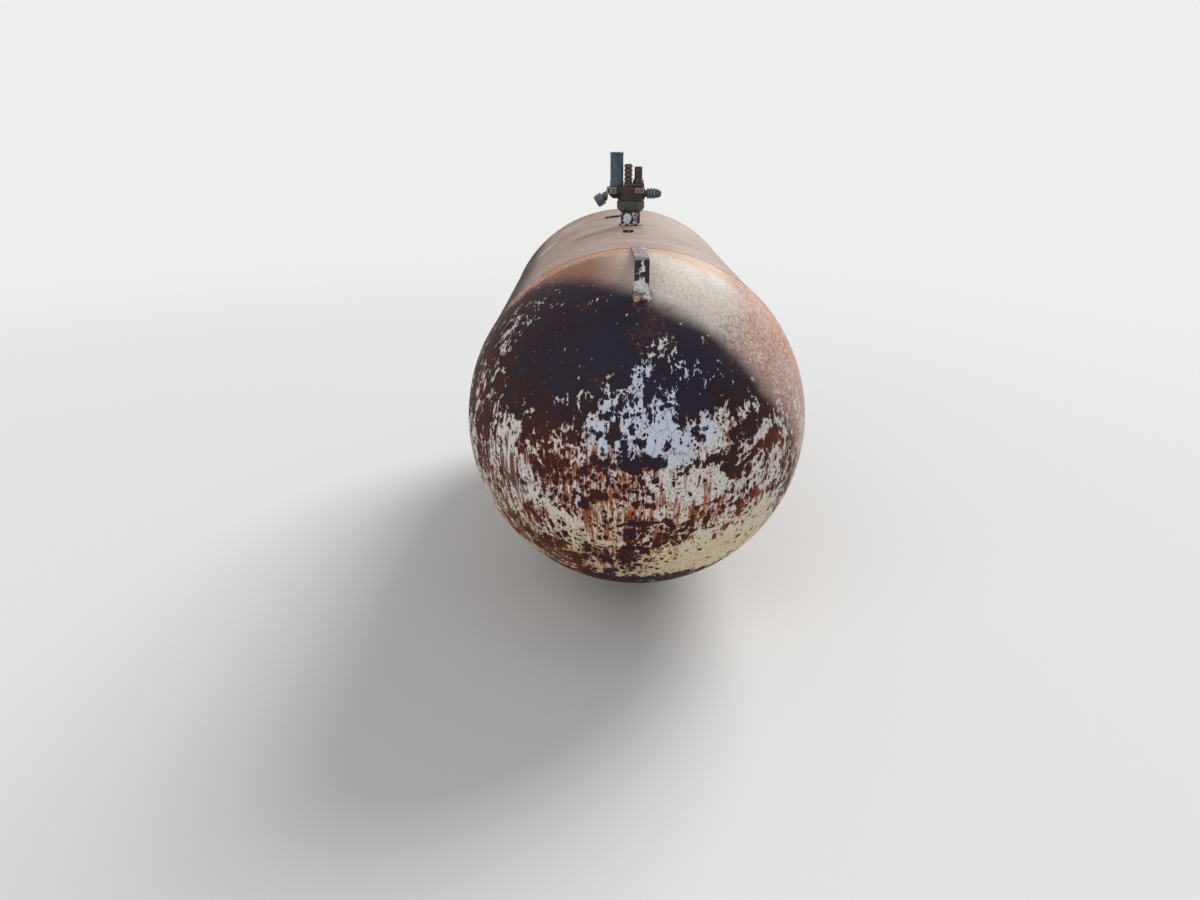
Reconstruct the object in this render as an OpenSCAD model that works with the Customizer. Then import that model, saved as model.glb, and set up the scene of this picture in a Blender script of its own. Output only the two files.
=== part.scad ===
// Horizontal pressure tank: a rolled shell between two hemispherical heads, welded on four short legs,
// with a bent-strap lifting lug on each head and a cluster of valves on one coupling at mid-length.
// Millimetres. The tank's axis lies along Y, +Z is up, and the origin is on the ground under the middle.

/* [Tank] */
// Outside diameter of the shell and of both heads
shell_od = 1040; // [900:10:1200]
// Length of the cylinder between the two girth seams
shell_length = 1400; // [1200:20:2600]
// Thickness of the shell's and the heads' plate
plate = 7; // [5:0.5:12]
// Height of the tank's lowest line above the ground
ground_clearance = 100; // [90:5:180]

/* [Welds] */
// Width of a girth weld's cap on the outside
weld_cap_width = 15; // [10:1:22]
// Width of a weld's root on the inside
weld_root_width = 4; // [3:0.5:8]
// Height of a weld's crown above the plate
weld_crown = 2; // [1:0.5:4]
// Angle of the lengthwise seam, counted from the bottom line
long_seam_angle = 55; // [50:5:80]
// Leg of the fillet welds round the lugs
fillet_leg = 7; // [4:1:10]

/* [Lifting lugs] */
// Width of a lug's strap
lug_width = 40; // [30:1:60]
// Thickness of a lug's strap
lug_thick = 8; // [6:1:14]
// Outer reach of a lug past its girth seam
lug_reach = 285; // [240:5:320]
// Gap between a lug's rear end and the middle of the girth weld
lug_rear_gap = 16; // [15:1:40]
// Inner radius of a lug's bends
lug_bend = 5; // [3:1:12]
// Length of a lug's bent-out foot
lug_foot = 34; // [20:1:45]

/* [Legs] */
// Distance between the legs' centres across the tank
leg_spacing_x = 500; // [420:10:600]
// Distance between the legs' centres along the tank
leg_spacing_y = 700; // [500:10:1000]
// Width of a leg's channel across its web
leg_width = 70; // [50:2:100]
// Depth of a leg's channel flanges
leg_depth = 60; // [40:2:80]
// Thickness of the leg's pressed plate
leg_plate = 6; // [4:1:10]
// Side of the square foot plate
foot_side = 100; // [90:2:140]
// Thickness of the foot plate
foot_thick = 8; // [6:1:14]
// Diameter of the hold-down hole in a foot plate
foot_hole = 18; // [12:1:24]
// Thickness of the curved pad between a leg and the shell
pad_thick = 6; // [4:1:10]
// Length and width of the curved pad
pad_side = 130; // [110:5:180]

/* [Coupling and valve body] */
// Outside diameter of the welded coupling
coupling_d = 70; // [60:1:90]
// Height of the coupling above the shell's crown
coupling_h = 46; // [30:1:80]
// Width across the corners of the valve body's hexagon
hex_corners = 100; // [90:1:120]
// Height of the valve body's hexagon
hex_h = 40; // [30:1:50]
// Radius of the valve body's round core
core_r = 48; // [44:1:56]
// Height of the valve body above its hexagon
body_h = 49; // [40:1:60]
// Distance from the coupling's axis to the relief valve's axis
lobe_offset = 51; // [46:1:60]
// Radius of the body's lobe under the relief valve
lobe_r = 35; // [32:1:40]
// Thickness of the bonnet plate bolted on the body
bonnet_h = 11; // [8:1:16]

/* [Upright valves] */
// Diameter of the relief valve's tall stack
relief_d = 47; // [40:1:52]
// Height of the relief valve's stack above the body
relief_h = 119; // [80:1:160]
// Diameter of the gauge stem
gauge_d = 30; // [24:1:34]
// Height of the gauge stem above the bonnet plate
gauge_h = 67; // [50:1:90]
// Distance of the gauge stem's axis from the coupling's axis, to the left
gauge_offset = 9; // [4:1:12]
// Distance of the service valve's axis from the coupling's axis, to the right
service_offset = 27; // [24:1:32]
// Diameter of the service valve's bonnet
service_d = 29; // [24:1:34]
// Height of the service valve above the bonnet plate
service_h = 58; // [45:1:80]

/* [Side outlets] */
// Diameter of the filler cap
filler_cap_d = 46; // [40:1:52]
// Length of the filler cap
filler_cap_l = 30; // [24:1:40]
// Angle by which the filler outlet points down
filler_tilt = 32; // [20:1:40]
// Diameter of the vapour cap
vapour_cap_d = 38; // [32:1:42]
// Length of the vapour cap
vapour_cap_l = 52; // [40:1:64]

/* [Hood fixings] */
// Width of the curved strip that held the missing hood's hinge
hinge_strip_w = 136; // [100:2:180]
// Distance of the hinge strip behind the coupling's axis
hinge_strip_y = 330; // [260:5:400]
// Thickness of the strip and of the latch tab
strip_thick = 6; // [4:1:10]
// Width of the latch tab
latch_tab_w = 36; // [24:1:60]
// Distance of the latch tab in front of the coupling's axis
latch_tab_y = 270; // [200:5:320]

/* [Hidden] */
$fn = 96;

// Clearance between pieces whose curved faces meet
seat = 0.2;
// Amount by which a cutter runs past what it cuts
over = 20;

shell_r = shell_od / 2;
axis_z = ground_clearance + shell_r;
crown_z = axis_z + shell_r;
half_length = shell_length / 2;
leg_x = leg_spacing_x / 2;
leg_y = leg_spacing_y / 2;
hex_z = crown_z + coupling_h;
body_z = hex_z + hex_h;
body_top = body_z + body_h;
bonnet_top = body_top + bonnet_h;
gauge_x = -gauge_offset;
service_x = service_offset;

paint = [0.86, 0.83, 0.76];
rust = [0.38, 0.22, 0.15];
lug_rust = [0.34, 0.23, 0.18];
weld_rust = [0.62, 0.40, 0.26];
brass_green = [0.36, 0.38, 0.31];
valve_blue = [0.35, 0.41, 0.43];
valve_brown = [0.33, 0.20, 0.17];

// Turns a profile drawn as radius and length into a body round the tank's axis
module round_tank_axis() {
    translate([0, 0, axis_z]) rotate([-90, 0, 0]) rotate_extrude($fn = 180) children();
}

// The shell's outer form, larger by the seat clearance, for cutting what is fitted on it
module shell_form() {
    translate([0, 0, axis_z]) rotate([90, 0, 0])
        cylinder(r = shell_r + seat, h = shell_length, center = true, $fn = 720);
}

// Copies its children to the far end of the tank, turned round
module far_end() {
    rotate(180) children();
}

// A ring of the shell's plate, whose ends are bevelled for the girth welds
module shell() {
    root = weld_root_width / 2 + seat;
    cap = weld_cap_width / 2 + seat;
    color(paint) round_tank_axis() polygon([
        [shell_r - plate, -half_length + root], [shell_r, -half_length + cap],
        [shell_r, half_length - cap], [shell_r - plate, half_length - root]]);
}

// A hemispherical head, pressed from the same plate, bevelled at its rim
module near_head() {
    root = weld_root_width / 2 + seat;
    cap = weld_cap_width / 2 + seat;
    inner_r = shell_r - plate;
    color(paint) round_tank_axis() translate([0, -half_length]) difference() {
        intersection() {
            circle(r = shell_r, $fn = 360);
            polygon([[0, -shell_r - over], [shell_r + over, -shell_r - over], [shell_r + over, -cap],
                [shell_r, -cap], [inner_r, -root], [0, -root]]);
        }
        circle(r = inner_r, $fn = 360);
    }
}

module far_head() {
    far_end() near_head();
}

// A butt weld that fills the bevels, with a low crown outside
module near_girth_weld() {
    root = weld_root_width / 2;
    cap = weld_cap_width / 2;
    color(weld_rust) round_tank_axis() translate([0, -half_length]) polygon([
        [shell_r - plate, -root], [shell_r, -cap], [shell_r + weld_crown * 0.8, -cap * 0.5],
        [shell_r + weld_crown, 0], [shell_r + weld_crown * 0.8, cap * 0.5], [shell_r, cap],
        [shell_r - plate, root]]);
}

module far_girth_weld() {
    far_end() near_girth_weld();
}

// The low crown of the lengthwise seam, on the lower side of the rolled shell
module long_seam_weld() {
    half = weld_cap_width / 2;
    run = shell_length - weld_cap_width - 2 * seat;
    color(weld_rust) translate([0, run / 2, axis_z]) rotate([90, 180 + long_seam_angle, 0])
        linear_extrude(run) polygon([[-half, shell_r + seat], [-half * 0.5, shell_r + weld_crown * 0.8],
            [0, shell_r + weld_crown], [half * 0.5, shell_r + weld_crown * 0.8], [half, shell_r + seat]]);
}

// Angle round the head at which a lug's foot lies flat on it
foot_slope = asin((lug_reach + lug_foot / 2) / shell_r);
// Radius from the head's centre to the middle of the bend above the foot
foot_bend_r = shell_r + seat + lug_thick + lug_bend;
// Step along the foot from its flat contact to the middle of its bend
foot_back = (lug_reach + lug_bend - foot_bend_r * sin(foot_slope)) / cos(foot_slope);
// Height of that bend's middle above the ground
foot_bend_z = axis_z + foot_bend_r * cos(foot_slope) - foot_back * sin(foot_slope);

// Points along an arc, from one angle to another
function arc(middle, r, from, to, steps = 10) =
    [for (i = [0 : steps]) middle + r * [cos(from + (to - from) * i / steps),
        sin(from + (to - from) * i / steps)]];

// A point given along and across a foot, as a point along and above the tank
function on_foot(middle, along, across) =
    middle + [along * cos(foot_slope) - across * sin(foot_slope),
        along * sin(foot_slope) + across * cos(foot_slope)];

// A lifting lug: a strap lying on the crown, bent down to the head and bent out into a foot
module near_lifting_lug() {
    under = crown_z + seat;
    rear_y = -half_length - lug_rear_gap;
    front_y = -half_length - lug_reach;
    outer_r = lug_bend + lug_thick;
    top_bend = [front_y + outer_r, under - lug_bend];
    foot_bend = [front_y - lug_bend, foot_bend_z];
    color(lug_rust) translate([-lug_width / 2, 0, 0]) rotate([90, 0, 90]) linear_extrude(lug_width)
        polygon(concat(
            [[rear_y, under], [rear_y, under + lug_thick]],
            arc(top_bend, outer_r, 90, 180),
            arc(foot_bend, lug_bend, 0, foot_slope - 90),
            [on_foot(foot_bend, -lug_foot, -lug_bend), on_foot(foot_bend, -lug_foot, -outer_r)],
            arc(foot_bend, outer_r, foot_slope - 90, 0),
            arc(top_bend, lug_bend, 180, 90)));
}

// Places its children at the middle of the bend above a foot, turned to the foot's slope
module at_foot() {
    translate([0, -half_length - lug_reach - lug_bend, foot_bend_z])
        rotate([foot_slope, 0, 0]) children();
}

module far_lifting_lug() {
    far_end() near_lifting_lug();
}

// A straight fillet weld along X, its corner at the origin, standing against the +Y side's face
module fillet(length) {
    rotate([90, 0, 90]) linear_extrude(length)
        polygon([[0, 0], [-fillet_leg, 0], [-fillet_leg * 0.45, fillet_leg * 0.55], [0, fillet_leg]]);
}

// The fillet welds across a lug's rear end and along the sides and toe of its foot
module near_lug_welds() {
    color(weld_rust) {
        translate([lug_width / 2, -half_length - lug_rear_gap + seat, crown_z + seat]) rotate(180)
            fillet(lug_width);
        at_foot() translate([0, 0, -lug_thick - lug_bend]) {
            translate([-lug_width / 2, -lug_foot - seat, 0]) fillet(lug_width);
            translate([lug_width / 2 + seat, -lug_foot, 0]) rotate(90) fillet(lug_foot);
            translate([-lug_width / 2 - seat, 0, 0]) rotate(-90) fillet(lug_foot);
        }
    }
}

module far_lug_welds() {
    far_end() near_lug_welds();
}

// A leg: a pressed channel, open towards the middle, its top cut to the curved pad
module leg(side, end) {
    top = axis_z;
    outer_x = side * (leg_x + leg_depth / 2);
    web_x = outer_x - side * leg_plate / 2;
    color(paint) difference() {
        union() {
            translate([web_x - leg_plate / 2, end * leg_y - leg_width / 2, foot_thick])
                cube([leg_plate, leg_width, top - foot_thick]);
            for (edge = [-1, 1])
                translate([side * leg_x - leg_depth / 2,
                    end * leg_y + edge * (leg_width - leg_plate) / 2 - leg_plate / 2, foot_thick])
                    cube([leg_depth, leg_plate, top - foot_thick]);
        }
        translate([0, 0, axis_z]) rotate([90, 0, 0])
            cylinder(r = shell_r + pad_thick + 2 * seat, h = shell_length, center = true, $fn = 180);
    }
}

// A square foot plate with its hold-down hole, which lies in the channel's open side
module foot(side, end) {
    color(paint) translate([side * leg_x, end * leg_y, 0]) difference() {
        translate([-foot_side / 2, -foot_side / 2, 0]) cube([foot_side, foot_side, foot_thick]);
        translate([0, 0, -over]) cylinder(d = foot_hole, h = foot_thick + 2 * over);
    }
}

// A curved pad of plate, rolled to the shell, between the shell and a leg
module pad(side, end) {
    lean = asin(leg_x / shell_r);
    color(paint) intersection() {
        translate([0, end * leg_y, axis_z]) rotate([90, 0, 0]) difference() {
            cylinder(r = shell_r + seat + pad_thick, h = pad_side, center = true, $fn = 180);
            cylinder(r = shell_r + seat, h = pad_side + over, center = true, $fn = 180);
        }
        translate([0, end * leg_y, axis_z]) rotate([0, -side * lean, 0])
            translate([-pad_side / 2, -pad_side, -shell_r - 2 * over])
            cube([pad_side, 2 * pad_side, shell_r]);
    }
}

module near_left_leg() { leg(-1, -1); }
module near_right_leg() { leg(1, -1); }
module far_left_leg() { leg(-1, 1); }
module far_right_leg() { leg(1, 1); }
module near_left_foot() { foot(-1, -1); }
module near_right_foot() { foot(1, -1); }
module far_left_foot() { foot(-1, 1); }
module far_right_foot() { foot(1, 1); }
module near_left_pad() { pad(-1, -1); }
module near_right_pad() { pad(1, -1); }
module far_left_pad() { pad(-1, 1); }
module far_right_pad() { pad(1, 1); }

// The welded coupling on the crown, its foot cut to the shell
module valve_coupling() {
    color(rust) difference() {
        translate([0, 0, crown_z - over / 2]) union() {
            cylinder(d = coupling_d, h = coupling_h + over / 2 - 2);
            translate([0, 0, coupling_h + over / 2 - 2]) cylinder(d1 = coupling_d, d2 = coupling_d - 4, h = 2);
        }
        shell_form();
    }
}

// The fillet weld round the coupling's foot
module coupling_weld() {
    inner = coupling_d / 2 + seat;
    outer = inner + fillet_leg + 2;
    depth = outer * outer / shell_od + 1;
    color(weld_rust) difference() {
        translate([0, 0, crown_z]) rotate_extrude() polygon([
            [inner, -depth], [outer, -depth], [outer, 0], [inner + fillet_leg * 0.45, fillet_leg * 0.55],
            [inner, fillet_leg]]);
        shell_form();
    }
}

// The valve body's hexagon, turned so that a flat faces the near end, chamfered below and above
module valve_hexagon() {
    chamfer_low = 14;
    chamfer_high = 3;
    color(brass_green) translate([0, 0, hex_z]) intersection() {
        cylinder(d = hex_corners, h = hex_h, $fn = 6);
        rotate_extrude() polygon([[0, 0], [coupling_d / 2 + 1, 0], [hex_corners / 2 + 0.5, chamfer_low],
            [hex_corners / 2 + 0.5, hex_h - chamfer_high], [hex_corners / 2 - 4, hex_h], [0, hex_h]]);
    }
}

// The cast body: a round core, and a lobe with a tapered underside that carries the relief valve
module valve_body() {
    lobe_straight = body_h * 0.45;
    boss_r = 22;
    color(valve_brown) translate([0, 0, body_z]) union() {
        cylinder(r1 = core_r - 3, r2 = core_r, h = 3);
        translate([0, 0, 3]) cylinder(r = core_r, h = body_h - 3);
        translate([-lobe_offset, 0, body_h - lobe_straight]) cylinder(r = lobe_r, h = lobe_straight);
        translate([-lobe_offset, 0, 8])
            cylinder(r1 = lobe_r * 0.45, r2 = lobe_r, h = body_h - lobe_straight - 8);
        translate([-lobe_offset, -lobe_r, body_h - lobe_straight])
            cube([lobe_offset, 2 * lobe_r, lobe_straight]);
        translate([0, 0, body_h / 2]) rotate([0, 90, 0]) cylinder(r = boss_r, h = core_r + 3);
    }
}

// The bonnet plate on the core, with rounded corners, carrying the two small upright valves
module bonnet_plate() {
    half_w = 36;
    half_d = 36;
    corner = 12;
    shift = 12;
    color(valve_brown) translate([shift, 0, body_top]) union() {
        for (x = [-1, 1], y = [-1, 1])
            translate([x * (half_w - corner), y * (half_d - corner), 0]) cylinder(r = corner, h = bonnet_h);
        translate([-half_w + corner, -half_d, 0]) cube([2 * (half_w - corner), 2 * half_d, bonnet_h]);
        translate([-half_w, -half_d + corner, 0]) cube([2 * half_w, 2 * (half_d - corner), bonnet_h]);
    }
}

// The screws of the bonnet plate, as hexagon heads on its corners
module bonnet_screws() {
    color(valve_brown) for (x = [-1, 1], y = [-1, 1])
        translate([12 + x * 27, y * 27, bonnet_top]) cylinder(d = 13, h = 6, $fn = 6);
}

module relief_valve_nut() {
    nut_h = 22;
    color(valve_blue) translate([-lobe_offset, 0, body_top]) rotate(30) intersection() {
        cylinder(d = relief_d + 10, h = nut_h, $fn = 6);
        rotate_extrude() polygon([[0, 0], [relief_d / 2 + 3, 0], [relief_d / 2 + 5, 2],
            [relief_d / 2 + 5, nut_h - 3], [relief_d / 2 + 2, nut_h], [0, nut_h]]);
    }
}

// The relief valve's tall round stack, with a rolled rim and a shallow cap
module relief_valve_stack() {
    nut_h = 22;
    stack_h = relief_h - nut_h;
    color(valve_blue) translate([-lobe_offset, 0, body_top + nut_h]) rotate_extrude() polygon([
        [0, 0], [relief_d / 2 - 2, 0], [relief_d / 2, 4], [relief_d / 2, stack_h - 7],
        [relief_d / 2 + 1.5, stack_h - 6], [relief_d / 2 + 1.5, stack_h - 1.5],
        [relief_d / 2, stack_h], [relief_d / 2 - 4, stack_h], [relief_d / 2 - 4.5, stack_h - 3],
        [0, stack_h - 3]]);
}

// The gauge stem, a turned column with collars
module gauge_stem() {
    collars = 4;
    pitch = gauge_h / (collars + 0.5);
    color(brass_green) translate([gauge_x, 0, bonnet_top]) rotate(30) union() {
        cylinder(d = gauge_d - 6, h = gauge_h);
        cylinder(d = gauge_d + 4, h = 7, $fn = 6);
        for (i = [1 : collars]) translate([0, 0, i * pitch - pitch * 0.25])
            cylinder(d = gauge_d, h = pitch * 0.55);
    }
}

module service_valve_nut() {
    color(valve_brown) translate([service_x, 0, bonnet_top])
        cylinder(d = service_d + 10, h = 12, $fn = 6);
}

// The service valve's turned bonnet with a narrow neck and a flat top
module service_valve() {
    color(valve_brown) translate([service_x, 0, bonnet_top + 12]) rotate_extrude() polygon([
        [0, 0], [service_d / 2 + 2, 0], [service_d / 2 + 2, 3], [service_d / 2, 6],
        [service_d / 2, service_h - 16], [service_d / 2 - 1.5, service_h - 14],
        [service_d / 2 - 1.5, service_h - 12], [0, service_h - 12]]);
}

// Places its children at the body's left side, pointing out and down
module at_filler() {
    translate([-lobe_offset - 12, 0, body_top - 16]) rotate([0, -90 - filler_tilt, 0]) children();
}

// Places its children at the body's right side, pointing out
module at_vapour() {
    translate([core_r + 3, 0, body_z + body_h / 2]) rotate([0, 90, 0]) children();
}

module filler_neck() {
    color(brass_green) difference() {
        at_filler() cylinder(d = 30, h = 44);
        translate([0, 0, seat]) valve_body_space();
    }
}

// The body's lobe and core, larger by the seat clearance, for cutting what meets their sides
module valve_body_space() {
    lobe_straight = body_h * 0.45;
    translate([-lobe_offset, 0, body_z - 1]) cylinder(r = lobe_r + seat, h = body_h + over);
}

// The filler cap: a ribbed round cap
module filler_cap() {
    ribs = 4;
    color(valve_blue) at_filler() translate([0, 0, 44]) union() {
        cylinder(d = filler_cap_d - 6, h = filler_cap_l);
        for (i = [0 : ribs - 1]) translate([0, 0, 1 + i * (filler_cap_l - 4) / ribs])
            cylinder(d = filler_cap_d, h = (filler_cap_l - 4) / ribs * 0.6);
    }
}

module vapour_neck() {
    color(brass_green) at_vapour() union() {
        cylinder(d = 26, h = 8);
    }
}

// The vapour cap: a ribbed cap with a narrower domed end
module vapour_cap() {
    ribs = 3;
    color(valve_blue) at_vapour() translate([0, 0, 8]) union() {
        cylinder(d = vapour_cap_d - 6, h = vapour_cap_l * 0.7);
        for (i = [0 : ribs - 1]) translate([0, 0, 1 + i * vapour_cap_l * 0.2])
            cylinder(d = vapour_cap_d, h = vapour_cap_l * 0.12);
        translate([0, 0, vapour_cap_l * 0.7])
            cylinder(d1 = vapour_cap_d - 8, d2 = vapour_cap_d * 0.4, h = vapour_cap_l * 0.3);
    }
}

// A rectangular port plate with a raised border and a screw in its middle, on the body's near face
module port_plate(wide, high) {
    border = 4;
    difference() {
        translate([-wide / 2, 0, -high / 2]) cube([wide, 12, high]);
        translate([-wide / 2 + border, -over, -high / 2 + border])
            cube([wide - 2 * border, over + 3, high - 2 * border]);
    }
    rotate([90, 0, 0]) translate([0, 0, -3]) cylinder(d = (high - 2 * border) * 0.7, h = 3, $fn = 6);
}

module left_port_plate() {
    color(brass_green) difference() {
        translate([-71, -42, body_top - 12]) port_plate(35, 21);
        valve_body_space();
    }
}

module right_port_plate() {
    color(brass_green) difference() {
        translate([30, -48, body_top - 12]) port_plate(30, 17);
        translate([0, 0, body_z]) cylinder(r = core_r + seat, h = body_h + over);
    }
}

// The curved strip on the shell behind the valves, left from the missing hood's hinge
module hood_hinge_strip() {
    left_x = -90;
    strip_y = 22;
    color(rust) intersection() {
        translate([0, 0, axis_z]) rotate([90, 0, 0]) difference() {
            cylinder(r = shell_r + seat + strip_thick, h = shell_length, center = true, $fn = 180);
            cylinder(r = shell_r + seat, h = shell_length + over, center = true, $fn = 180);
        }
        translate([left_x, hinge_strip_y, axis_z]) cube([hinge_strip_w, strip_y, shell_r + over]);
    }
}

// The small tab in front of the valves, left from the hood's latch
module hood_latch_tab() {
    left_x = -34;
    color(rust) difference() {
        translate([left_x, -latch_tab_y, crown_z - over]) cube([latch_tab_w, strip_thick, over + 8]);
        shell_form();
    }
}

shell();
near_head();
far_head();
near_girth_weld();
far_girth_weld();
long_seam_weld();
near_lifting_lug();
far_lifting_lug();
near_lug_welds();
far_lug_welds();
near_left_leg();
near_right_leg();
far_left_leg();
far_right_leg();
near_left_foot();
near_right_foot();
far_left_foot();
far_right_foot();
near_left_pad();
near_right_pad();
far_left_pad();
far_right_pad();
valve_coupling();
coupling_weld();
valve_hexagon();
valve_body();
bonnet_plate();
relief_valve_nut();
relief_valve_stack();
gauge_stem();
service_valve_nut();
service_valve();
filler_neck();
filler_cap();
vapour_neck();
vapour_cap();
left_port_plate();
right_port_plate();
bonnet_screws();
hood_hinge_strip();
hood_latch_tab();
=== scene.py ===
import math

import bmesh
import bpy
import numpy as np
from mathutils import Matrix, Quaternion, Vector
from mathutils import noise as drift


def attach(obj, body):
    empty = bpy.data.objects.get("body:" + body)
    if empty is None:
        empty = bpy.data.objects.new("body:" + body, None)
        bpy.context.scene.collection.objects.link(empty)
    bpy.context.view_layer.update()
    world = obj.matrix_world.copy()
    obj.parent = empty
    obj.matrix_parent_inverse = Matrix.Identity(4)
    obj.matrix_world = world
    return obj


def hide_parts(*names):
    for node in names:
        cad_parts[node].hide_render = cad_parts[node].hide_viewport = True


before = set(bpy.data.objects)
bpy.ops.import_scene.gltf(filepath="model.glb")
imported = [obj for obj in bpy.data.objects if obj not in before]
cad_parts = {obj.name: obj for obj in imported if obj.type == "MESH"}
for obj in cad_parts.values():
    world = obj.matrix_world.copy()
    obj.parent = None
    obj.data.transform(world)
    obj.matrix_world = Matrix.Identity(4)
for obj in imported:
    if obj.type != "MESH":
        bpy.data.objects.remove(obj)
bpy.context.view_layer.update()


# Camera. It stands in front of the near head at eye height and looks down along the tank,
# with the moderately wide lens that the outline of the tank was fitted with.
eye = (-0.112, -3.404, 1.464)
look_down = math.radians(19.5)
lens_mm, sensor_mm = 27, 36


def placed(name, data):
    """A new object at the origin for a mesh, a curve, a lamp or a camera."""
    made = bpy.data.objects.new(name, data)
    bpy.context.scene.collection.objects.link(made)
    return made


camera = placed("camera", bpy.data.cameras.new("camera"))
camera.location = eye
camera.rotation_euler = (math.radians(90) - look_down, 0, 0)
camera.data.lens = lens_mm
camera.data.sensor_width = sensor_mm
bpy.context.scene.camera = camera
bpy.context.scene.view_settings.view_transform = "Standard"


# Studio. A wide pale floor under a pale even sky, a large soft key lamp behind the tank's right
# shoulder, high enough to graze the near head, and a broad weak fill in front on the left.
backdrop_colour = (0.86, 0.855, 0.845, 1)
sky_colour = (0.46, 0.47, 0.50, 1)
floor_colour = (0.66, 0.65, 0.635, 1)
floor_radius = 30
floor_fade = (2.5, 9.0)
key_toward, key_strength, key_spread = (0.478, 0.686, 0.60), 3.0, 30
fill_toward, fill_strength, fill_spread = (-0.55, -0.75, 0.55), 0.8, 60


class Field:
    """What a node gives out. Arithmetic on it adds Math nodes to its tree."""

    def __init__(self, tree, socket):
        self.tree, self.socket = tree, socket

    def math(self, operation, *others, clamp=False):
        return node(self.tree, "ShaderNodeMath", dict(enumerate((self, *others))),
            operation=operation, use_clamp=clamp)

    def __add__(self, other):
        return self.math("ADD", other)

    def __sub__(self, other):
        return self.math("SUBTRACT", other)

    def __rsub__(self, other):
        return self.math("MULTIPLY_ADD", -1.0, other)

    def __mul__(self, other):
        return self.math("MULTIPLY", other)

    def higher(self, other):
        return self.math("MAXIMUM", other)

    def lower(self, other):
        return self.math("MINIMUM", other)

    def held(self):
        """The field kept between 0 and 1."""
        return self.math("ADD", 0.0, clamp=True)

    def between(self, low, high, curve="LINEAR"):
        """0 at low and 1 at high, and straight or smooth between them."""
        return node(self.tree, "ShaderNodeMapRange", {
            "Value": self, "From Min": low, "From Max": high}, interpolation_type=curve)

    def smooth(self, low, high):
        return self.between(low, high, "SMOOTHSTEP")

    def mix(self, first, second, way="MIX"):
        """The first colour where the field is 0 and the second where it is 1."""
        return node(self.tree, "ShaderNodeMix", {0: self, 6: first, 7: second}, 2,
            data_type="RGBA", blend_type=way)


def tint(code):
    """A colour written as it shows on a screen, as the linear colour that a shader needs."""
    shares = [int(code[i:i + 2], 16) / 255 for i in (1, 3, 5)]
    return (*[s / 12.92 if s <= 0.04045 else ((s + 0.055) / 1.055) ** 2.4 for s in shares], 1.0)


def feed(tree, socket, value):
    """Links a socket to what a node gives out, or sets it to a plain value or a colour's code."""
    if isinstance(value, Field):
        tree.links.new(value.socket, socket)
    elif isinstance(value, str) and value.startswith("#"):
        socket.default_value = tint(value)
    else:
        socket.default_value = value


def node(tree, kind, inputs=None, output=0, **settings):
    """Adds a node, sets and feeds it, and gives back one of its outputs."""
    made = tree.nodes.new(kind)
    for name, value in settings.items():
        setattr(made, name, value)
    for name, value in (inputs or {}).items():
        feed(tree, made.inputs[name], value)
    return Field(tree, made.outputs[output])


def shown_to_eye(tree):
    """1 for what the camera sees directly, in a mirror or through glass, and 0 for what lights."""
    path = tree.nodes.new("ShaderNodeLightPath").outputs
    direct, mirrored, through = [Field(tree, path[name]) for name in (
        "Is Camera Ray", "Is Glossy Ray", "Is Transmission Ray")]
    return direct.higher(mirrored).higher(through)


def soft_sun(name, toward, strength, spread):
    """A lamp far away in one direction, as wide in the sky as spread says in degrees."""
    lamp = placed(name, bpy.data.lights.new(name, "SUN"))
    lamp.data.energy, lamp.data.angle = strength, math.radians(spread)
    lamp.rotation_euler = Vector(toward).to_track_quat("Z", "Y").to_euler()


def moulded(name, form):
    """A new object with the faces of a bmesh, which is then let go."""
    mesh = bpy.data.meshes.new(name)
    form.to_mesh(mesh)
    form.free()
    return placed(name, mesh)


def new_material(name):
    """A material, its tree and the Principled shader in it."""
    material = bpy.data.materials.new(name)
    material.use_nodes = True
    return material, material.node_tree, material.node_tree.nodes["Principled BSDF"]


world = bpy.data.worlds.new("pale_sky")
bpy.context.scene.world = world
world.use_nodes = True
sky = world.node_tree.nodes["Background"]
feed(world.node_tree, sky.inputs["Color"],
    shown_to_eye(world.node_tree).mix(sky_colour, backdrop_colour))
soft_sun("key", key_toward, key_strength, key_spread)
soft_sun("fill", fill_toward, fill_strength, fill_spread)

floor_form = bmesh.new()
bmesh.ops.create_circle(floor_form, cap_ends=True, segments=96, radius=floor_radius)
floor = moulded("floor", floor_form)
floor_paint, floor_tree, near_floor = new_material("pale_floor")
near_floor.inputs["Base Color"].default_value = floor_colour
near_floor.inputs["Roughness"].default_value = 0.9
from_middle = node(floor_tree, "ShaderNodeVectorMath", {
    0: node(floor_tree, "ShaderNodeTexCoord", output="Object")}, 1, operation="LENGTH")
feed(floor_tree, floor_tree.nodes["Material Output"].inputs["Surface"],
    node(floor_tree, "ShaderNodeMixShader", {
        0: from_middle.smooth(*floor_fade) * shown_to_eye(floor_tree),
        1: Field(floor_tree, near_floor.outputs[0]),
        2: node(floor_tree, "ShaderNodeEmission", {"Color": backdrop_colour})}))
floor.data.materials.append(floor_paint)


# Shell and heads. Steel plate 7 mm thick, rolled for the shell and pressed for the hemispherical
# heads. The white paint has flaked off the top and hangs on in plates on the near head, in upright
# flakes on the flanks and as a chipped cream coat below, and rust runs down over it.
tank_radius = 0.520
seam_y = 0.700
axis_z = 0.620
plate = 0.007
seam_gap = 0.0077
unevenness = 0.0014
# The direction toward the sun. The tank's material paints sunlight and sheen with its dust on the
# side that faces it.
sun_toward = (0.478, 0.686, 0.549)
paint_line = (0.19, -0.03)


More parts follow.
